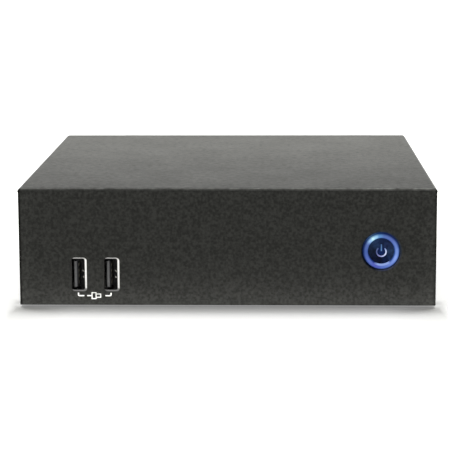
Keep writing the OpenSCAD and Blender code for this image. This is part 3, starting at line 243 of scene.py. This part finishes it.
def coat_by_button(s, facing_front):
    """How much the coat is shaded close round the lit ring, and the blue light that the ring spills on it."""
    radius, turn = about_button(s)
    ring_r = front_radii("button_light_ring")[1]
    close = s.times(s.span(radius, 1, 0, ring_r + 0.55 * MM, ring_r + 1.2 * MM), facing_front)
    shade = s.ramp(turn, [(0.0, 0.35), (0.3, 0.3), (0.42, 0.85), (0.52, 1.0), (0.66, 1.0), (0.76, 0.35),
                          (1.0, 0.35)])
    blue = s.ramp(turn, [
        (0.0, (0.004, 0.012, 0.03)), (0.4, (0.003, 0.010, 0.022)), (0.5, (0.001, 0.004, 0.010)),
        (0.68, (0.001, 0.003, 0.010)), (0.8, (0.02, 0.03, 0.08)), (0.88, (0.015, 0.022, 0.06)),
        (1.0, (0.004, 0.012, 0.03))])
    return s.times(close, shade), s.mix(close, (0, 0, 0), blue)


def powder_coat():
    """Fine textured black powder coat, slightly warm and mottled; painted shade lowers the top's gloss
    towards its front edge, where the top is also rougher.
    """
    s = Shader("powder_coat", IOR=1.5, Specular_Tint=(0.99, 1.0, 0.93, 1))
    grain = s.noise(0.42 * MM, 3)
    mottle = s.noise(1.0 * MM, 4)
    cloud = s.noise(2.4 * MM, 5)
    peel = s.noise(1.6 * MM, 2)
    patch = s.noise(22 * MM, 3)
    _, normal_y, normal_z = s.axes(s.node("ShaderNodeNewGeometry").outputs["Normal"])
    facing_up = s.span(normal_z, 0, 1, 0.1, 0.7)
    facing_front = s.span(normal_y, 1, 0, -0.9, -0.3)

    shade, spill = coat_by_button(s, facing_front)
    # the coat's painted shade and highlight, and the shade round the button
    strength = s.times(coat_painted_light(s, normal_y, normal_z), s.less(1, shade))
    tone = s.mix(s.span(grain, 0, 1, 0.35, 0.65), (0.0085, 0.0085, 0.0079), (0.0145, 0.0145, 0.0134))
    tone = s.mix(s.span(patch, 0, 0.25), tone, (0.0170, 0.0170, 0.0156))
    darker, lighter = (s.mix(1.0, tone, (amount,) * 3, "MULTIPLY") for amount in (0.75, 1.25))
    tone = s.mix(s.span(mottle, 0, 1, 0.36, 0.64), darker, lighter)

    # the case is about as deep as it is wide, so half its width also spans the top from front to back
    bent = s.span(normal_z, 1, 0, 0.93, 0.995)
    from_front = s.most(s.span(s.axes(s.place)[1], 0, 1, -HALF_W, HALF_W), bent)
    front_gloss = s.span(mottle, 0.185, 0.34, 0.36, 0.64)
    # painted shade: the top's gloss falls towards its front edge, while the bend keeps its full gloss
    top_gloss = s.times(s.span(cloud, 0.16, 0.48, 0.31, 0.69), s.span(from_front, 0.62, 1, 0, 0.75))
    gloss = s.node("ShaderNodeMix", {0: facing_up, 2: front_gloss, 3: top_gloss}).outputs[0]
    rough = s.plus(s.span(grain, 0.40, 0.50), s.span(patch, -0.02, 0.03),
                   s.times(facing_up, s.span(from_front, 0.03, 0, 0, 0.75)))
    return s.set(Base_Color=s.mix(1.0, tone, strength, "MULTIPLY"), Roughness=rough,
                 Specular_IOR_Level=s.times(gloss, strength), Emission_Color=spill, Emission_Strength=1.0,
                 Normal=s.bump(peel, 0.03 * MM, 0.5, s.bump(grain, 0.03 * MM, 0.55))).material


def plastic(name, color, rough=0.42, size=0.6 * MM, depth=0.01 * MM, **sockets):
    s = Shader(name, **sockets)
    fine = s.noise(size, 3)
    rough_map = s.plus(s.span(fine, rough - 0.05, rough + 0.05), s.span(s.noise(9 * MM, 3), -0.04, 0.05))
    return s.set(Base_Color=varied(s, color, 3 * MM), Roughness=rough_map,
                 Normal=s.bump(fine, depth, 0.5)).material


def metal(name, color, rough=0.25, stretch=(1, 1, 1), size=0.25 * MM):
    """Metal whose fine lines run along the axis that stretch makes small."""
    s = Shader(name, Metallic=1.0)
    lines = s.noise(size, 3, stretch)
    smudge = s.noise(4 * MM, 4)
    return s.set(Base_Color=varied(s, color, 2 * MM, 0.07),
                 Roughness=s.plus(s.span(lines, rough - 0.05, rough + 0.05), s.span(smudge, -0.03, 0.06)),
                 Normal=s.bump(lines, 0.004 * MM, 0.6)).material


def board():
    """Green solder resist over faint copper tracks."""
    s = Shader("board_green", Coat_Weight=0.4, Coat_Roughness=0.15)
    cells = s.node("ShaderNodeTexVoronoi", {"Vector": s.place, "Scale": 1 / (3.2 * MM)},
                   distance="MANHATTAN", feature="F1").outputs["Distance"]
    track = s.span(s.calc("PINGPONG", cells, 0.12), 0, 1, 0.02, 0.06)
    tone = s.mix(track, (0.012, 0.115, 0.050), (0.006, 0.062, 0.026))
    return s.set(Base_Color=tone, Roughness=s.span(s.noise(2 * MM, 3), 0.3, 0.45),
                 Normal=s.bump(track, 0.02 * MM, 0.5)).material


def lit_ring():
    """Clear plastic lit blue from behind, with a painted highlight at the upper left, a violet patch and a
    pale painted highlight arc at the bottom, and painted shade at its inner and outer edges.
    """
    s = Shader("lit_ring", Roughness=0.25, Specular_IOR_Level=0.08)
    radius, turn = about_button(s)
    inner, outer = front_radii("button_light_ring")
    turn = s.plus(turn, s.span(s.noise(2.5 * MM, 2), -0.012, 0.012))
    across = s.span(radius, 0, 1, inner, outer)
    # the blue glow round the ring, with a painted highlight at the upper left
    broad = s.ramp(turn, [
        (0.00, linear(114, 143, 210)), (0.06, linear(98, 123, 190)), (0.14, linear(84, 102, 168)),
        (0.22, linear(82, 108, 170)), (0.27, linear(96, 144, 196)), (0.31, linear(160, 208, 238)),
        (0.345, linear(205, 248, 252)), (0.38, linear(158, 198, 238)), (0.43, linear(84, 104, 164)),
        (0.50, linear(66, 90, 156)), (0.60, linear(86, 106, 180)), (0.69, linear(80, 86, 176)),
        (0.77, linear(86, 110, 186)), (0.85, linear(108, 132, 204)), (0.94, linear(130, 158, 228)),
        (1.00, linear(114, 143, 210))])
    # painted shade along the ring's inner and outer edges
    painted_rim_shade = s.ramp(across, [(0.0, (0.10, 0.18, 0.30)), (0.2, (0.80, 0.84, 0.90)), (0.35, 1.0), (0.6, 1.0),
                          (0.8, (0.47, 0.53, 0.62)), (1.0, (0.06, 0.09, 0.17))])
    light = s.mix(1.0, broad, painted_rim_shade, "MULTIPLY")
    # a pale painted highlight arc on the inner side at the bottom
    low = s.ramp(turn, [(0.66, 0.0), (0.71, 1.0), (0.83, 1.0), (0.88, 0.0)])
    arc = s.times(low, s.ramp(across, [(0.0, 1.0), (0.18, 1.0), (0.36, 0.0)]))
    light = s.mix(arc, light, linear(142, 164, 222))
    return s.set(Base_Color=(0.01, 0.02, 0.06), Emission_Color=light, Emission_Strength=1.0,
                 Normal=s.bump(s.noise(3 * MM, 2), 0.05 * MM, 0.3)).material


def dark_cap():
    """Dark navy satin plastic whose look is a painted glow: brightest at its right and upper left, and bluer
    in its middle.
    """
    s = Shader("dark_cap", Specular_IOR_Level=0.01)
    radius, turn = about_button(s)
    fine = s.noise(0.9 * MM, 3)
    # painted light: the cap's glow by turn round the button, brightest at its right and upper left
    around = s.ramp(turn, [
        (0.00, linear(34, 52, 82)), (0.12, linear(30, 42, 76)), (0.25, linear(22, 36, 68)),
        (0.35, linear(34, 53, 86)), (0.50, linear(20, 30, 50)), (0.62, linear(14, 22, 46)),
        (0.72, linear(8, 15, 38)), (0.82, linear(12, 28, 64)), (0.92, linear(28, 45, 78)),
        (1.00, linear(34, 52, 82))])
    # a bluer painted glow in the middle
    around = s.mix(s.span(radius, 0.8, 0, 1.3 * MM, 2.1 * MM), around, linear(12, 34, 88))
    light = s.mix(1.0, around, s.mix(s.span(fine, 0, 1), (0.6,) * 3, (1.4,) * 3), "MULTIPLY")
    return s.set(Base_Color=varied(s, (0.003, 0.003, 0.004), 1 * MM), Roughness=s.span(fine, 0.40, 0.55),
                 Emission_Color=light, Emission_Strength=0.85, Normal=s.bump(fine, 0.01 * MM, 0.5)).material


def lit_symbol():
    """Pale light, strongest at the lower right of the arc; the bar is bluer and fades towards its top."""
    s = Shader("lit_symbol", Roughness=0.4, Specular_IOR_Level=0.2)
    radius, turn = about_button(s)
    around = s.ramp(turn, [
        (0.0, linear(206, 218, 252)), (0.06, linear(160, 176, 222)), (0.09, linear(116, 134, 182)),
        (0.13, linear(78, 102, 148)), (0.17, linear(60, 88, 132)), (0.33, linear(60, 88, 132)),
        (0.4, linear(70, 84, 130)), (0.55, linear(66, 72, 118)), (0.7, linear(136, 136, 190)),
        (0.8, linear(190, 198, 240)), (0.92, linear(222, 230, 255)), (1.0, linear(206, 218, 252))])
    bar = s.mix(s.span(radius, 0, 1, 0.6 * MM, 3.0 * MM), linear(78, 124, 172), linear(48, 84, 122))
    above = s.ramp(turn, [(0.165, 0.0), (0.185, 1.0), (0.335, 1.0), (0.355, 0.0)])
    around = s.mix(above, around, bar)
    soft = s.mix(s.span(s.noise(0.5 * MM, 2), 0, 0.3), around, linear(80, 100, 170))
    return s.set(Base_Color=(0.02, 0.03, 0.05), Emission_Color=soft, Emission_Strength=1.0,
                 Normal=s.bump(s.noise(0.4 * MM, 2), 0.01 * MM, 0.3)).material


def glow(name, color, strength):
    s = Shader(name, Roughness=0.3)
    return s.set(Base_Color=color, Emission_Color=varied(s, color, 0.8 * MM), Emission_Strength=strength,
                 Normal=s.bump(s.noise(0.4 * MM, 2), 0.01 * MM, 0.3)).material


SLOT_MATERIALS = {
    "powder_coat": powder_coat(),
    "black_screw": metal("black_screw", (0.05, 0.05, 0.052), 0.4),
    "zinc_steel": metal("zinc_steel", (0.60, 0.60, 0.57), 0.32, size=0.5 * MM),
    "rubber": plastic("rubber", (0.016, 0.016, 0.017), 0.75, 0.3 * MM, 0.03 * MM),
    "brass": metal("brass", (0.78, 0.60, 0.26), 0.28),
    "board_green": board(),
    "ivory_plastic": plastic("ivory_plastic", (0.72, 0.67, 0.53)),
    "silicon": plastic("silicon", (0.16, 0.17, 0.20), 0.12, Coat_Weight=0.5),
    "ferrite": plastic("ferrite", (0.06, 0.06, 0.065), 0.6, 0.3 * MM, 0.03 * MM),
    "can_aluminium": metal("can_aluminium", (0.72, 0.73, 0.74), 0.3),
    "black_plastic": plastic("black_plastic", (0.012, 0.012, 0.013)),
    "bare_aluminium": metal("bare_aluminium", (0.74, 0.75, 0.76), 0.35, (1, 0.08, 1)),
    "bright_steel": metal("bright_steel", (0.66, 0.66, 0.67), 0.22),
    "nickel_shell": metal("nickel_shell", (0.80, 0.79, 0.77), 0.2, (1, 0.1, 1), 0.3 * MM),
    "gold": metal("gold", (0.90, 0.66, 0.26), 0.22),
    "white_plastic": plastic("white_plastic", (0.66, 0.66, 0.63)),
    "lit_ring": lit_ring(),
    "dark_cap": dark_cap(),
    "lit_symbol": lit_symbol(),
    "led": glow("led", (0.5, 0.6, 1.0), 2.0),
    "copper": metal("copper", (0.80, 0.42, 0.26), 0.3),
    "drive_case": metal("drive_case", (0.42, 0.43, 0.44), 0.38, size=0.5 * MM),
    "cable": plastic("cable", (0.02, 0.02, 0.022), 0.5),
}


def tongue_plastic():
    """Black plastic whose flat front face is painted lighter grey, a painted highlight."""
    s = Shader("tongue", Roughness=0.5)
    facing = s.axes(s.node("ShaderNodeNewGeometry").outputs["Normal"])[1]
    across, width = in_pair(s, "front_usb_tongues")
    flat_end = s.span(across, 1, 0, width / 2 - 0.60 * MM, width / 2 - 0.47 * MM)
    front = s.times(s.span(facing, 1, 0, -0.99, -0.9), flat_end)
    fine = s.noise(0.4 * MM, 3)
    # painted highlight: grey on the flat front face, black elsewhere
    return s.set(Base_Color=s.mix(front, (0.012, 0.012, 0.013), varied(s, (0.10, 0.10, 0.10), 0.8 * MM)),
                 Normal=s.bump(fine, 0.01 * MM, 0.5)).material


def painted_lip_reflection(s, across, up):
    """How much of a socket's lips keeps its painted reflection: most at the right, less at the top, least at
    the left and the foot.
    """
    corner_up, corner_across = 5.5 * MM, 5.9 * MM
    rise = s.most(s.less(s.calc("ABSOLUTE", up), corner_up), 0)
    reach = s.most(s.less(across, corner_across), 0)
    round_corner = s.hypot(rise, reach)
    band = s.times(s.span(round_corner, 0, 1, 0.80 * MM, 0.90 * MM),
                   s.span(round_corner, 1, 0, 1.55 * MM, 1.65 * MM))
    foot = s.span(up, 0.24, 1, -5.9 * MM, -5.3 * MM)
    top = s.span(up, 1, 0.85, 5.6 * MM, 6.1 * MM)
    left = s.span(across, 0.25, 0, 2 * MM, 2.5 * MM)
    return s.most(s.times(band, foot, top), left)


def socket_nickel():
    """Brushed nickel, with painted dark reflection on most of its lips, and its two spring leaves at the
    right painted as pale, less metallic, rougher bands that stand in for their glints.
    """
    leaf_heights, leaf_half = (0.9 * MM, -1.5 * MM), 0.3 * MM
    leaf_depth, lip_depth = 1.6 * MM, 0.8 * MM
    s = Shader("socket_nickel")
    _, y, z = s.axes(s.place)
    across, width = in_pair(s, "front_usb_shells")
    up = s.less(z, middle("front_usb_shells").z)
    mouth_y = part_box("front_usb_shells")[0][1]
    # painted glint: two bands on the right wall, deeper than the lips
    bands = [s.calc("LESS_THAN", s.calc("ABSOLUTE", s.less(up, at)), leaf_half) for at in leaf_heights]
    leaf_glint = s.times(s.plus(*bands), s.calc("GREATER_THAN", y, mouth_y + leaf_depth),
                   s.calc("GREATER_THAN", across, width / 2))
    # painted reflection and shade: the lips keep their nickel only where the painted reflection is kept, and
    # are near black elsewhere
    painted_dark_lip = s.times(s.less(1, painted_lip_reflection(s, across, up)), s.calc("LESS_THAN", y, mouth_y + lip_depth))
    nickel = s.mix(painted_dark_lip, varied(s, (0.80, 0.79, 0.77), 2 * MM, 0.07), (0.01, 0.01, 0.01))
    lines = s.noise(0.3 * MM, 3, (1, 0.1, 1))
    return s.set(Base_Color=s.mix(leaf_glint, nickel, (0.75, 0.74, 0.66)), Metallic=s.span(leaf_glint, 1, 0.1, 0, 1),
                 Roughness=s.plus(s.span(lines, 0.15, 0.25), s.times(leaf_glint, 0.3)),
                 Normal=s.bump(lines, 0.004 * MM, 0.6)).material


NODE_MATERIALS = {
    "front_usb_shells": socket_nickel(),
    "front_usb_tongues": tongue_plastic(),
    # painted shade: the contacts are coloured a dark brownish metal, as shaded deep in the socket
    "front_usb_contacts": metal("painted_shade_contact", (0.16, 0.15, 0.12), 0.45),
}

for part in frame["record"]["subparts"]:
    mesh = NODES[part["node"]].data
    mesh.materials.clear()
    mesh.materials.append(NODE_MATERIALS.get(part["node"]) or SLOT_MATERIALS[part["material_slot"]])


# ---- White print under the front sockets ----

white_print = plastic("white_print", (0.62, 0.62, 0.59), 0.6, 0.25 * MM, 0.01 * MM)
PRINT_T = 0.02 * MM


def bend(points, radius, steps=6):
    """A path with its inner corners rounded."""
    out = [points[0]]
    for before, at, after in zip(points, points[1:], points[2:]):
        a, b = (before - at).normalized(), (after - at).normalized()
        start, end = at + a * radius, at + b * radius
        for i in range(steps + 1):
            u = i / steps
            out.append(start * (1 - u) ** 2 + at * 2 * u * (1 - u) + end * u ** 2)
    out.append(points[-1])
    return out


def printed(name, path, width, radius=0.0, closed=False):
    """A flat stroke of the given width on the front face; its path is in millimetres, across and up."""
    path = [Vector(p) for p in path]
    path = bend(path, radius) if radius else path
    bm = bmesh.new()
    rows = []
    for i, p in enumerate(path):
        first, last = i == 0, i == len(path) - 1
        before = path[-2] if closed and first else path[max(i - 1, 0)]
        after = path[1] if closed and last else path[min(i + 1, len(path) - 1)]
        a = (p - before).normalized() if before != p else (after - p).normalized()
        b = (after - p).normalized() if after != p else a
        normal = Vector((-a.y - b.y, a.x + b.x)).normalized()
        side = normal * width / 2 / max(0.5, normal.dot(Vector((-a.y, a.x))))
        ring = ((p + side, 0), (p + side, PRINT_T), (p - side, PRINT_T), (p - side, 0))
        rows.append([bm.verts.new((q.x * MM, FACE_Y - y, q.y * MM)) for q, y in ring])
    for a, b in zip(rows, rows[1:]):
        for k in range(4):
            bm.faces.new((a[k], a[(k + 1) % 4], b[(k + 1) % 4], b[k]))
    if not closed:
        bm.faces.new(rows[0])
        bm.faces.new(reversed(rows[-1]))
    bmesh.ops.recalc_face_normals(bm, faces=bm.faces)
    mesh = bpy.data.meshes.new(name)
    bm.to_mesh(mesh)
    bm.free()
    mesh.materials.append(white_print)
    made = bpy.data.objects.new(name, mesh)
    bpy.context.scene.collection.objects.link(made)
    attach(made, "case")


PRINT_UP = 3.75                    # from the case's lower edge to the line under the sockets, in millimetres
PRINT_RIGHT = 0.2                  # from the middle of the two sockets
ARM_X, FOOT_X, ARM_UP = 6.5, 4.2, 1.2
BRACKET_W, PLUG_W, LEAD_W = 0.5, 0.36, 0.45
PLUG_X = -0.5
PLUG_BODY = [(-0.6, 1.2), (1.0, 1.2), (1.0, -1.2), (-0.6, -1.2), (-0.6, 1.2)]
PLUG_MOUTH = [(1.25, 0.65), (2.85, 0.65), (2.85, -0.65), (1.25, -0.65)]
PLUG_LEAD = [(-0.8, 0), (-2.45, 0)]

pair_x = middle("front_usb_shells").x / MM + PRINT_RIGHT
line_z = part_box("top_cover")[0][2] / MM + PRINT_UP


def moved(path, x, z):
    return [(x + px, z + pz) for px, pz in path]


for name, side in (("left", -1), ("right", 1)):
    bracket = [(side * ARM_X, ARM_UP), (side * ARM_X, 0), (side * FOOT_X, 0)]
    printed("print_bracket_" + name, moved(bracket, pair_x, line_z), BRACKET_W, BRACKET_W)
# a plain picture of a plug
plug_x = pair_x + PLUG_X
printed("print_plug_body", moved(PLUG_BODY, plug_x, line_z), PLUG_W, closed=True)
printed("print_plug_mouth", moved(PLUG_MOUTH, plug_x, line_z), PLUG_W)
printed("print_plug_lead", moved(PLUG_LEAD, plug_x, line_z), LEAD_W)


# ---- Stage and light ----

def card(name, size, at, towards, energy, color=(1, 1, 1)):
    """A softbox: a rectangular lamp of this size in metres that faces a point, unseen by the camera."""
    data = bpy.data.lights.new(name, "AREA")
    data.shape, data.size, data.size_y = "RECTANGLE", size[0], size[1]
    data.energy, data.color = energy, color
    made = bpy.data.objects.new(name, data)
    made.location = at
    made.rotation_mode = "QUATERNION"
    made.rotation_quaternion = (Vector(towards) - Vector(at)).to_track_quat("-Z", "Y")
    made.visible_camera = False
    bpy.context.scene.collection.objects.link(made)
    return made


def white_floor():
    """A pale floor that keeps the shadow in front of the case and shows as plain white farther off; near the
    case its glow is shaped into a painted shadow, with painted light in the gap under the front edge and
    beside the case.
    """
    s = Shader("floor", Specular_IOR_Level=0.0, Roughness=0.9)
    x, y, _ = s.axes(s.place)
    lo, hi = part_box("top_cover")
    away_x, away_y = (s.less(s.calc("ABSOLUTE", at), (hi[i] - lo[i]) / 2) for i, at in enumerate((x, y)))
    # painted shadow in front of the case: the glow lights the gap under the front edge, dips a little way
    # out, then rises
    front = s.ramp(s.span(away_y, 0, 1, -5 * MM, 20 * MM), [
        (0.05, 0.32), (0.18, 0.16), (0.25, 0.10), (0.38, 0.19), (0.52, 0.30), (0.65, 0.375), (0.8, 0.405),
        (1.0, 0.42)], smooth=False)
    behind = s.times(s.calc("GREATER_THAN", y, 0), s.span(away_y, 1, 0, 0, 4 * MM))
    front_lift_reach = s.times(s.less(1, behind), s.span(away_y, 0, 1, -9 * MM, -5 * MM))
    # painted shade at the front corners
    corner = s.times(s.span(away_x, 0, 0.17, -20 * MM, -2 * MM), s.span(away_y, 0, 1, -2 * MM, 3 * MM))
    # painted light on the floor beside the case
    side = s.ramp(s.span(away_x, 0, 1, 0, 8 * MM), [
        (0.0, 0.0), (0.12, 0.02), (0.25, 0.20), (0.5, 0.40), (0.75, 0.45), (1.0, 0.48)], smooth=False)
    beside = s.times(s.span(away_x, 0, 1, -1 * MM, 0), s.span(away_y, 0.47, 0, -14 * MM, -4 * MM))
    near = s.most(side, beside, s.less(s.times(front, front_lift_reach), corner))
    far = s.span(s.hypot(s.most(away_x, 0), s.most(away_y, 0)), 0, 0.65, 0.3, 1.5)
    s.set(Base_Color=varied(s, (0.86, 0.86, 0.855), 0.2, 0.01), Emission_Color=(1, 1, 1),
          Emission_Strength=s.times(s.seen_rays(), s.plus(near, far)))
    s.material.cycles.emission_sampling = "NONE"
    return s.material


REACH = 6.0
floor_mesh = bpy.data.meshes.new("floor")
floor_mesh.from_pydata([(-REACH, -REACH, 0), (REACH, -REACH, 0), (REACH, REACH, 0), (-REACH, REACH, 0)], [],
                       [(0, 1, 2, 3)])
floor_mesh.materials.append(white_floor())
floor = bpy.data.objects.new("floor", floor_mesh)
bpy.context.scene.collection.objects.link(floor)


def studio():
    """A room that lights the case more from behind than from the front, and shows as plain white."""
    world = bpy.data.worlds.new("world")
    world.use_nodes = True
    world.node_tree.nodes.clear()
    s = Nodes(world.node_tree, "Generated")
    towards_back = s.span(s.axes(s.place)[1], 0, 1, -0.35, 0.25, "SMOOTHSTEP")
    walls = s.mix(towards_back, (0.3, 0.3, 0.3), (0.645, 0.65, 0.59))
    light = s.node("ShaderNodeBackground", {"Color": s.mix(s.seen_rays(), walls, (1, 1, 1))})
    s.node("ShaderNodeOutputWorld", {"Surface": light.outputs[0]})
    world.cycles.sampling_method = "NONE"
    return world


bpy.context.scene.world = studio()
card("overhead", (1.1, 0.35), (0, 0.25, 1.0), (0, 0, 0), 7.3)
card("behind", (0.6, 0.06), (0, 0.20, 0.09), (0, 0, 0.047), 0.052, (1, 1, 0.8))
card("front_fill", (1.2, 0.6), (0, -0.75, 1.1), (0, 0, 0), 0.75)
# light that the floor throws up on the lower front
card("low_reflector", (0.3, 0.009), (0, -0.0838, 0.0003), (0, -0.0838, 1), 0.055).visible_glossy = False

bpy.context.scene.view_settings.view_transform = "Standard"
